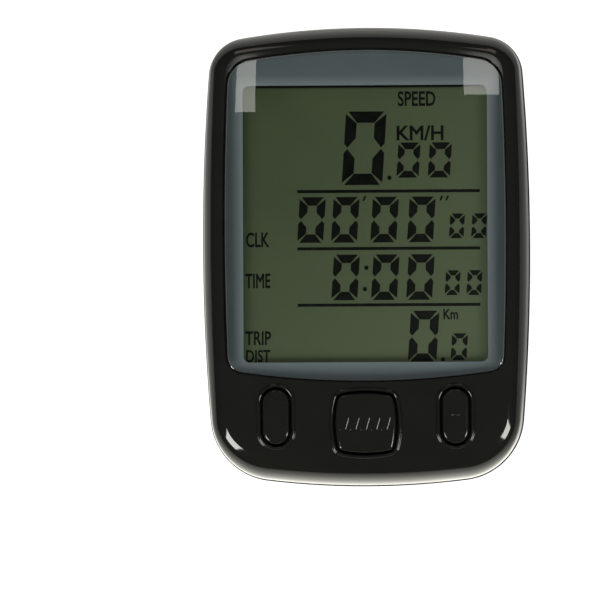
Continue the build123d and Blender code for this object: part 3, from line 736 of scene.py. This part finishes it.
def zero_digit(skin, x, y, width, height, thick, gap, z):
    """The six lit segments of a slanted nought."""
    w, h, t = width / 2, height / 2, thick
    cut = 0.7 * gap
    middle = 0.8 * gap
    long_w, short_w = w - cut - 0.15 * t, w - t - 0.4 * cut
    cap = [(-long_w, h), (long_w, h), (short_w, h - t), (-short_w, h - t)]
    post = [
        (-w, h - cut - 0.15 * t), (-w + t, h - t - cut), (-w + t, 0.9 * t),
        (-w + 0.3 * t, middle), (-w, middle + 0.35 * t),
    ]
    for flip_y in (1, -1):
        shapes = [[(px, py * flip_y) for px, py in cap]]
        for flip_x in (1, -1):
            shapes.append([(px * flip_x, py * flip_y) for px, py in post])
        for shape in shapes:
            prism(skin, [(x + px + SLANT * py, y + py) for px, py in shape], z, SEGMENT_T)


def rule(skin, x0, x1, y, thick, z):
    low, high = y - thick / 2, y + thick / 2
    prism(skin, [(x0, low), (x1, low), (x1, high), (x0, high)], z, SEGMENT_T)


def dot(skin, x, y, size, z):
    prism(skin, circle(x, y, size / 2, 20)[0], z, SEGMENT_T)


def tick(skin, x, y, z):
    """A minute or second mark, wider at its top."""
    corners = ((-0.22, -0.25), (-0.02, -0.25), (0.24, 0.3), (-0.04, 0.3))
    prism(skin, [(x + dx * MM, y + dy * MM) for dx, dy in corners], z, SEGMENT_T)


def make_segments():
    """Four rows of noughts, each after the first under a thin rule."""
    skin = Skin()
    z = DISPLAY_HIGH.z - SEGMENT_T / 6
    speed, part, digit = (4.85, 8.8, 1.35), (2.65, 4.2, 0.8), (3.1, 5.45, 1.0)
    distance, tenth, small = (3.4, 6.15, 1.05), (1.9, 3.2, 0.6), (1.75, 2.95, 0.6)
    rows = [  # y, then each digit's width, height and thickness, then their x, in millimetres
        (12.9, speed, [-0.1]),
        (11.45, part, [5.2, 8.95]),
        (4.35, digit, [-6.45, -2.4, 2.3, 6.7]),
        (3.55, small, [10.95, 13.6]),
        (-2.55, digit, [-2.4, 2.35, 6.55]),
        (-3.25, small, [10.4, 13.0]),
        (-9.65, distance, [6.9]),
        (-10.9, tenth, [11.15]),
    ]
    for y, size, places in rows:
        for x in places:
            zero_digit(skin, x * MM, y * MM, *[side * MM for side in size], DIGIT_GAP, z)
    for y in (7.75, 0.9, -5.85):
        rule(skin, -8.15 * MM, 13.7 * MM, y * MM, 0.36 * MM, z)
    for x, y in ((2.9, 9.35), (0.1, -1.4), (-0.1, -3.95), (9.2, -12.4)):
        dot(skin, x * MM, y * MM, 0.52 * MM, z)
    for x in (-0.1, 9.1, 9.8):
        tick(skin, x * MM, 6.85 * MM, z)
    segments = skin.build("display_segments", [SEGMENT_INK])
    adopt(segments, "case", "polariser")


def make_legends():
    """Generic units and row names on the display, as thin raised letters."""
    words = [  # text, place of its middle, width and height in millimetres
        ("SPEED", 6.2, 18.8, 4.5, 1.8),
        ("KM/H", 6.6, 14.7, 5.6, 1.8),
        ("Km", 10.15, -7.0, 1.75, 1.25),
        ("CLK", -12.9, 2.0, 2.8, 1.8),
        ("TIME", -12.9, -2.9, 3.0, 1.75),
        ("TRIP", -12.9, -9.75, 3.1, 1.65),
        ("DIST", -12.9, -11.9, 2.9, 1.5),
    ]
    letters = []
    for i, (text, x, y, width, height) in enumerate(words):
        curve = bpy.data.curves.new(f"legend_{i}", "FONT")
        curve.body = text
        curve.extrude = 0.05
        curve.bevel_depth = 0.020
        curve.bevel_resolution = 0
        curve.resolution_u = 4
        loose = bpy.data.objects.new(f"legend_{i}", curve)
        bpy.context.scene.collection.objects.link(loose)
        bpy.context.view_layer.update()
        mesh = bpy.data.meshes.new_from_object(loose)
        bpy.data.objects.remove(loose)
        at = np.array([v.co for v in mesh.vertices])
        low, high = at.min(0), at.max(0)
        scale = np.array([width * MM, height * MM, SEGMENT_T]) / (high - low)
        middle = np.array([x * MM, y * MM, DISPLAY_HIGH.z + SEGMENT_T / 3])
        at = (at - (low + high) / 2) * scale + middle
        mesh.vertices.foreach_set("co", at.ravel())
        letters.append(mesh)
    shape = bmesh.new()
    for mesh in letters:
        shape.from_mesh(mesh)
        bpy.data.meshes.remove(mesh)
    bmesh.ops.remove_doubles(shape, verts=shape.verts, dist=1e-7)
    together = bpy.data.meshes.new("display_legends")
    shape.to_mesh(together)
    shape.free()
    together.materials.clear()
    together.materials.append(SEGMENT_INK)
    piece = bpy.data.objects.new("display_legends", together)
    bpy.context.scene.collection.objects.link(piece)
    adopt(piece, "case", "polariser")


# ---------------------------------------------------------------- buttons

def make_cap(name, outline, marks):
    """A button cap with a soft edge, a crown that follows the front, and its flange."""
    skin = Skin()
    sections = [
        (grown(outline, FLANGE_W), FLANGE_Z),
        (grown(outline, FLANGE_W), CAP_FOOT_Z),
        (grown(outline, 0), CAP_FOOT_Z),
    ]
    for turn in np.radians(np.linspace(0, 90, 9)):
        xy = grown(outline, CAP_EDGE_R * (math.cos(turn) - 1))
        z = dome_z(xy[:, 0], xy[:, 1]) + CAP_PROUD - CAP_EDGE_R * (1 - math.sin(turn))
        sections.append((xy, z, edge_normals(outline, turn)))
    first, last = skin.rings(sections)
    skin.fill(first, [], flat(FLANGE_Z), 1 * MM)
    skin.fill(last, [], lambda x, y: dome_z(x, y) + CAP_PROUD, 0.5 * MM, dome_normals)
    for mark in marks:
        raise_mark(skin, mark)
    cap = skin.build(name + "_cap_gloss", [CAP_GLOSS])
    adopt(cap, name, "button_plastic", name + "_cap")


def raise_mark(skin, outline, rise=0.04 * MM):
    """A low soft relief on a button's crown."""
    sections = []
    for inset, up in ((0, -0.02), (0, 0.3), (0.03, 0.75), (0.08, 1.0)):
        xy = grown(outline, -inset * MM)
        sections.append((xy, dome_z(xy[:, 0], xy[:, 1]) + CAP_PROUD + rise * up))
    first, last = skin.rings(sections)
    skin.face(*first[::-1])
    skin.face(*last)


def slanted(outline):
    """Leans an outline to the right about the middle button's centre line."""
    points, normals = outline
    lean = 0.28 * (points[:, 1] - MIDDLE_Y)
    return points + np.column_stack([lean, np.zeros(len(lean))]), normals


def make_buttons():
    """Three caps: five slanted plates on the middle one, and two dots on the right one."""
    low_y, high_y = MIDDLE_Y - 0.9 * MM, MIDDLE_Y + 0.8 * MM
    plates = []
    for i in range(5):
        x = (-2.9 + 1.24 * i) * MM
        plates.append(slanted(rounded_box((x, low_y), (x + 0.75 * MM, high_y), 0.2 * MM, 6)))
    dots = [circle(PILL_X + x * MM, PILL_Y + 0.2 * MM, 0.14 * MM, 16) for x in (-0.3, 0.35)]
    reliefs = {"middle_button": plates, "right_button": dots}
    for name, outline in BUTTONS.items():
        make_cap(name, outline, reliefs.get(name, []))


# ---------------------------------------------------------------- back

def make_back_shell():
    """The lower shell: sides that taper to a rounded floor, open over the cover, screws and pads."""
    skin = Skin()
    floor_in = 0.9 * MM
    top_z = SEAM_Z - 0.02 * MM
    tilt = math.atan(floor_in / (top_z - FLOOR_Z))
    sections = [
        (grown(CASE, -WALL - floor_in), INNER_Z),
        (grown(CASE, -WALL), top_z),
        (grown(CASE, -0.34 * MM), top_z),
        (grown(CASE, -0.30 * MM), top_z - 0.3 * MM),
        (grown(CASE, -0.07 * MM), top_z - 0.3 * MM),
        (grown(CASE, -0.05 * MM), top_z - 0.03 * MM),
        (grown(CASE, -0.02 * MM), top_z - 0.02 * MM),
        (grown(CASE, -0.008 * MM), top_z - 0.05 * MM),
    ]
    start_z = FLOOR_Z + FLOOR_EDGE_R * (1 - math.sin(tilt))
    for share in np.linspace(0.06, 1, 6)[:-1]:
        z = top_z + (start_z - top_z) * share
        sections.append((grown(CASE, -(top_z - z) * math.tan(tilt)), z))
    wall_in = (top_z - start_z) * math.tan(tilt)
    for turn in np.linspace(tilt, math.pi / 2, 12):
        inset = wall_in + FLOOR_EDGE_R * (math.cos(tilt) - math.cos(turn))
        sections.append((grown(CASE, -inset), FLOOR_Z + FLOOR_EDGE_R * (1 - math.sin(turn))))
    inner_low, edge = skin.rings(sections)
    lows, highs = [], []
    for opening in back_openings():
        low, high = skin.rings([
            (grown(opening, 0.1 * MM), FLOOR_Z),
            (grown(opening, 0.03 * MM), FLOOR_Z + 0.03 * MM),
            (opening[0], FLOOR_Z + 0.1 * MM),
            (opening[0], INNER_Z),
        ])
        lows.append(low)
        highs.append(high)
    latch = rounded_box((-2.5 * MM, 20.2 * MM), (2.5 * MM, 21.8 * MM), 0.3 * MM)
    pocket, pocket_top = skin.rings([
        (grown(latch, 0.08 * MM), FLOOR_Z),
        (latch[0], FLOOR_Z + 0.08 * MM),
        (latch[0], FLOOR_Z + 0.6 * MM),
        (grown(latch, -0.1 * MM), FLOOR_Z + 0.7 * MM),
    ])
    skin.face(*pocket_top)
    skin.fill(edge, [*lows, pocket], flat(FLOOR_Z), 2.5 * MM)
    skin.fill(inner_low, highs, flat(INNER_Z), 3 * MM)
    for side in (-1, 1):
        add_rail(skin, side)
    shell = skin.build("back_case_shell", [SATIN])
    adopt(shell, "case", "back_plastic", "back_shell")


def back_openings():
    """Holes in the back for the battery cover, the two screws and the two contact pads."""
    return [
        circle(*COVER_CENTRE, COVER_R + COVER_GAP, 96),
        *[circle(side * SCREW_X, SCREW_Y, SCREW_HOLE_R, 40) for side in (-1, 1)],
        *[circle(side * PAD_X, PAD_Y, PAD_HOLE_R, 40) for side in (-1, 1)],
    ]


def add_rail(skin, side):
    """One bracket rail: a neck with a lip that points outwards, cut back at its +Y end, and a stop."""
    inner_x, neck_x, outer_x = 12.4 * MM, 13.6 * MM, 15.2 * MM
    low_y, high_y = -15.0 * MM, 13.0 * MM
    lead, lip_t, soft = 0.6 * MM, 1.0 * MM, 0.12 * MM
    top_z = FLOOR_Z + 0.3 * MM
    profile = [
        (inner_x, top_z), (inner_x, soft), (inner_x + soft, 0), (outer_x - soft, 0),
        (outer_x, soft), (outer_x, lip_t - soft), (outer_x - soft, lip_t),
        (neck_x + soft, lip_t), (neck_x, lip_t + soft), (neck_x, top_z),
    ]
    rings = []
    for y, cut in ((low_y, 0), (high_y - lead, 0), (high_y, lead)):
        xy = [(side * x, y - (cut if x > neck_x else 0)) for x, _ in profile]
        rings.append(skin.ring(xy, [z for _, z in profile]))
    for a, b in zip(rings, rings[1:]):
        skin.strip(a, b)
    skin.face(*rings[0][::-1])
    skin.face(*rings[-1])
    across = sorted((side * (neck_x - 0.1 * MM), side * outer_x))
    stop = rounded_box((across[0], low_y), (across[1], low_y + 1.2 * MM), soft, 5)
    low, high = skin.rings([
        (grown(stop, -0.08 * MM), 0.01 * MM),
        (stop[0], 0.1 * MM),
        (stop[0], top_z),
    ])
    skin.face(*low[::-1])
    skin.face(*high)


def make_battery_cover():
    """Round cover with a coin slot inside a shallow ring groove."""
    skin = Skin()
    rim = circle(*COVER_CENTRE, COVER_R, 120)
    edge_r = 0.25 * MM
    sections = [
        (grown(rim, -0.05 * MM), COVER_TOP_Z),
        (rim[0], COVER_TOP_Z - 0.05 * MM),
        (rim[0], FLOOR_Z + edge_r),
    ]
    for turn in np.radians(np.linspace(15, 90, 6)):
        xy = grown(rim, edge_r * (math.cos(turn) - 1))
        sections.append((xy, FLOOR_Z + edge_r * (1 - math.sin(turn))))
    top, face = skin.rings(sections)
    slot_y = COVER_CENTRE[1]
    slot = rounded_box((-6.0 * MM, slot_y - 0.8 * MM), (6.0 * MM, slot_y + 0.8 * MM), 0.78 * MM)
    mouth, bottom = skin.rings([
        (grown(slot, 0.18 * MM), FLOOR_Z),
        (grown(slot, 0.06 * MM), FLOOR_Z + 0.05 * MM),
        (slot[0], FLOOR_Z + 0.18 * MM),
        (slot[0], FLOOR_Z + 0.62 * MM),
        (grown(slot, -0.12 * MM), FLOOR_Z + 0.75 * MM),
    ])
    skin.face(*bottom)
    groove = circle(*COVER_CENTRE, 10.0 * MM, 96)
    groove_out, groove_in = skin.rings([
        (grown(groove, 0.35 * MM), FLOOR_Z),
        (grown(groove, 0.2 * MM), FLOOR_Z + 0.15 * MM),
        (grown(groove, -0.05 * MM), FLOOR_Z + 0.15 * MM),
        (grown(groove, -0.2 * MM), FLOOR_Z),
    ])
    skin.fill(face, [groove_out], flat(FLOOR_Z), 1.5 * MM)
    skin.fill(groove_in, [mouth], flat(FLOOR_Z), 1.5 * MM)
    skin.fill(top, [], flat(COVER_TOP_Z), 3 * MM)
    cover = skin.build("battery_cover_satin", [SATIN])
    adopt(cover, "battery_cover", "back_plastic", "battery_cover")


# ---------------------------------------------------------------- the frame's own pieces

def dress(name, material):
    """Gives a CAD node a material in place of its plain one."""
    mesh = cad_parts[name].data
    mesh.materials.clear()
    mesh.materials.append(material)


def dress_frame():
    silicone = plastic("black_silicone", (0.02, 0.02, 0.02), 0.6, 2500, 0.01 * MM)
    grey = plastic("grey_silicone", (0.3, 0.31, 0.31), 0.55, 2500, 0.01 * MM)
    white = plastic("white_holder", (0.7, 0.7, 0.67), 0.4, 3000, 0.01 * MM, tone=0.04)
    green = plastic("solder_mask", (0.02, 0.14, 0.05), 0.3, 1500, 0.01 * MM)
    resin = plastic("potting_resin", (0.01, 0.01, 0.01), 0.2, 900, 0.02 * MM)
    carbon = plastic("carbon_rubber", (0.012, 0.012, 0.012), 0.7, 4000, 0.01 * MM)
    chips = plastic("ceramic", (0.22, 0.15, 0.09), 0.45, 3000, 0.01 * MM)
    glass = plastic("display_glass", (0.09, 0.11, 0.085), 0.1, 400, 0.001 * MM, tone=0.05)
    olive = plastic("reflector_film", (0.08, 0.10, 0.06), 0.5, 6000, 0.005 * MM)
    steel = metal("bright_steel", (0.62, 0.62, 0.60), 0.28)
    nickel = metal("nickel_plate", (0.70, 0.68, 0.62), 0.2)
    gold = metal("gold_plate", (0.83, 0.62, 0.28), 0.22)
    finishes = {
        "lcd_front_polariser": display_material(),
        "lcd_front_glass": glass, "lcd_rear_glass": glass, "lcd_reflector": olive,
        "lcd_holder": white, "zebra_strip": grey, "circuit_board": green, "chip_blob": resin,
        "crystal_can": steel, "surface_parts": chips, "button_mat": grey, "board_screws": steel,
        "case_gasket": silicone, "case_screws": steel, "coin_cell": steel,
        "negative_contact": nickel, "positive_contact": nickel, "contact_leaves": nickel,
        "bracket_contacts": gold, "battery_cover_seal": silicone,
        "left_contact_pill": carbon, "middle_contact_pill": carbon, "right_contact_pill": carbon,
    }
    for name, material in finishes.items():
        dress(name, material)


# ---------------------------------------------------------------- camera, floor and light

TARGET = Vector((0.0, 0.0, SEAM_Z))
CAMERA_FAR = 0.75
VIEW_RIGHT = math.radians(1.5)
VIEW_DOWN = math.radians(1.5)
FRAMED_W = 72.2 * MM  # width of what the picture shows at the seam's height
FRAME_CENTRE = Vector((-8.03 * MM, -5.13 * MM, SEAM_Z))
ROLL = math.radians(0.28)
CARD_FAR = 0.6
KEY_FAR = 0.9


def facing(place, target, up):
    """The turn that points a camera's or a light's -Z at the target, with its Y towards up."""
    forward = (target - place).normalized()
    right = forward.cross(up).normalized()
    up = right.cross(forward)
    return Matrix([[right[i], up[i], -forward[i]] for i in range(3)]).to_quaternion()


def make_camera():
    camera = bpy.data.objects.new("camera", bpy.data.cameras.new("camera"))
    bpy.context.scene.collection.objects.link(camera)
    eye = TARGET + CAMERA_FAR * Vector((math.tan(VIEW_RIGHT), -math.tan(VIEW_DOWN), 1.0))
    camera.location = eye
    camera.rotation_mode = "QUATERNION"
    camera.rotation_quaternion = facing(eye, FRAME_CENTRE, Vector((math.sin(ROLL), math.cos(ROLL), 0)))
    camera.data.sensor_width = 36.0
    camera.data.lens = 36.0 * (FRAME_CENTRE - eye).length / FRAMED_W
    camera.data.clip_start = 0.05
    camera.data.clip_end = 20.0
    bpy.context.scene.camera = camera
    return eye


def softbox(name, place, width, height, radiance, up=(0, 1, 0), colour=(1, 1, 1)):
    """A flat light with the given brightness, facing the object."""
    lamp = bpy.data.lights.new(name, "AREA")
    lamp.shape = "RECTANGLE"
    lamp.size = width
    lamp.size_y = height
    lamp.color = colour
    lamp.energy = radiance * math.pi * width * height
    light = bpy.data.objects.new(name, lamp)
    bpy.context.scene.collection.objects.link(light)
    light.location = place
    light.rotation_mode = "QUATERNION"
    light.rotation_quaternion = facing(Vector(place), TARGET, Vector(up))
    light.visible_camera = False
    return light


def mirrored(eye, x, y, distance):
    """Where a light stands so that the window shows it at this point."""
    at = Vector((x, y, float(dome_z(x, y))))
    normal = Vector(dome_normals([(x, y)])[0])
    back = (eye - at).normalized()
    return at + distance * (2 * normal.dot(back) * normal - back)


def around(bearing_deg, elevation_deg, distance):
    """A place at a compass bearing from +X and a height angle over the floor."""
    b, e = math.radians(bearing_deg), math.radians(elevation_deg)
    return TARGET + distance * Vector((math.cos(b) * math.cos(e), math.sin(b) * math.cos(e), math.sin(e)))


def make_floor():
    """A white floor whose glow is painted light, brightest in reflections close to the object on its -Y
    side, with painted shade just beside the object's foot.
    """
    skin = Skin()
    skin.face(*skin.ring(circle(0, 0, 3.0, 96)[0], -0.02 * MM))
    paint = Paint("pale_floor", Roughness=0.9)
    paint.set("Base Color", paint.blend(paint.noise(6), (0.30, 0.30, 0.30), (0.34, 0.34, 0.335)))
    length = paint.add("ShaderNodeVectorMath", operation="LENGTH")
    paint.link(paint.place, length.inputs[0])
    distance = length.outputs["Value"]
    away = paint.add("ShaderNodeVectorMath", operation="NORMALIZE")
    paint.link(paint.place, away.inputs[0])
    x, y, _ = paint.axes(away.outputs[0])
    # painted light: the glow falls off with distance and dims towards the right, the left and the top
    fade = paint.span(distance, 0.04, 0.2, 1.8, 0.62, smooth=True)
    to_right = paint.span(x, 0.5, 0.9, 1.0, 0.12, smooth=True)
    to_left = paint.span(x, -0.6, -0.95, 1.0, 0.62, smooth=True)
    to_top = paint.span(y, 0.1, 0.8, 1.0, 0.38, smooth=True)
    to_base = paint.span(y, -0.4, -0.95, 0.33, 0.58, smooth=True)
    at_base = paint.span(y, -0.5, -0.97, 0.0, 1.15, smooth=True)
    # painted shade: the glow dips just beside the object's foot
    painted_foot_shade = paint.span(distance, 0.0285, 0.034, 0.35, 1.0)
    close_by = paint.span(distance, 0.034, 0.07, 1.0, 0.0)
    extra = paint.times(at_base, close_by, painted_foot_shade)
    glow = paint.times(fade, paint.calc("ADD", extra, 1.0), to_right, to_left, to_top, to_base)
    paint.set("Emission Strength", paint.white_or(glow))
    paint.set("Emission Color", paint.blend(paint.camera_ray(), (1.0, 0.99, 0.89), (1, 1, 1)))
    skin.build("floor", [paint.material])


def make_world():
    """A pale surround near the horizon: highest towards -Y, dimmer to the sides."""
    world = bpy.data.worlds.new("studio")
    bpy.context.scene.world = world
    world.use_nodes = True
    studio = Nodes(world.node_tree, "Generated")
    x, y, z = studio.axes()
    lift = studio.span(studio.times(x, x), 0.0, 1.0, 0.0, 0.14)
    fade = studio.span(studio.calc("ADD", z, lift), -0.12, 0.36, 0.52, 0.06, smooth=True)
    to_right = studio.span(x, 0.3, 0.9, 1.0, 0.35, smooth=True)
    to_left = studio.span(x, -0.3, -0.9, 1.0, 0.45, smooth=True)
    to_top = studio.span(y, 0.2, 0.8, 1.0, 0.85, smooth=True)
    glow = studio.white_or(studio.times(fade, to_right, to_left, to_top))
    studio.link(glow, world.node_tree.nodes["Background"].inputs["Strength"])


def make_lights(eye):
    """Cards that the window mirrors in its top corners, boxes that the rounding mirrors, a key light."""
    upright = (0, 0, 1)
    pale, warm = (1.0, 0.98, 0.92), (1.0, 0.85, 0.76)
    in_left_corner = mirrored(eye, -14.15 * MM, 20.5 * MM, CARD_FAR)
    in_right_corner = mirrored(eye, 14.0 * MM, 21.4 * MM, CARD_FAR)
    softbox("window_card_left", in_left_corner, 0.0145, 0.040, 4.0, colour=pale)
    softbox("window_card_right", in_right_corner, 0.026, 0.028, 4.0, colour=pale)
    boxes = [  # name, bearing and elevation in degrees, width, height, radiance and colour
        ("softbox_left", 221, 42, 0.15, 0.30, 15, pale),
        ("softbox_right", -31, 42, 0.14, 0.30, 14, pale),
        ("warm_card_left", 110, 34, 0.13, 0.26, 1.3, warm),
        ("warm_card_right", 70, 34, 0.14, 0.26, 1.3, warm),
    ]
    for name, bearing_deg, elevation_deg, width, height, radiance, colour in boxes:
        place = around(bearing_deg, elevation_deg, CARD_FAR)
        softbox(name, place, width, height, radiance, upright, colour)
    key = softbox("overhead", around(90, 70, KEY_FAR), 0.5, 0.16, 15)
    key.visible_glossy = False


# ---------------------------------------------------------------- everything

dress_frame()
make_front_shell()
make_lens()
make_border()
make_segments()
make_legends()
make_buttons()
make_back_shell()
make_battery_cover()
eye = make_camera()
make_floor()
make_world()
make_lights(eye)
bpy.context.scene.view_settings.view_transform = "Standard"
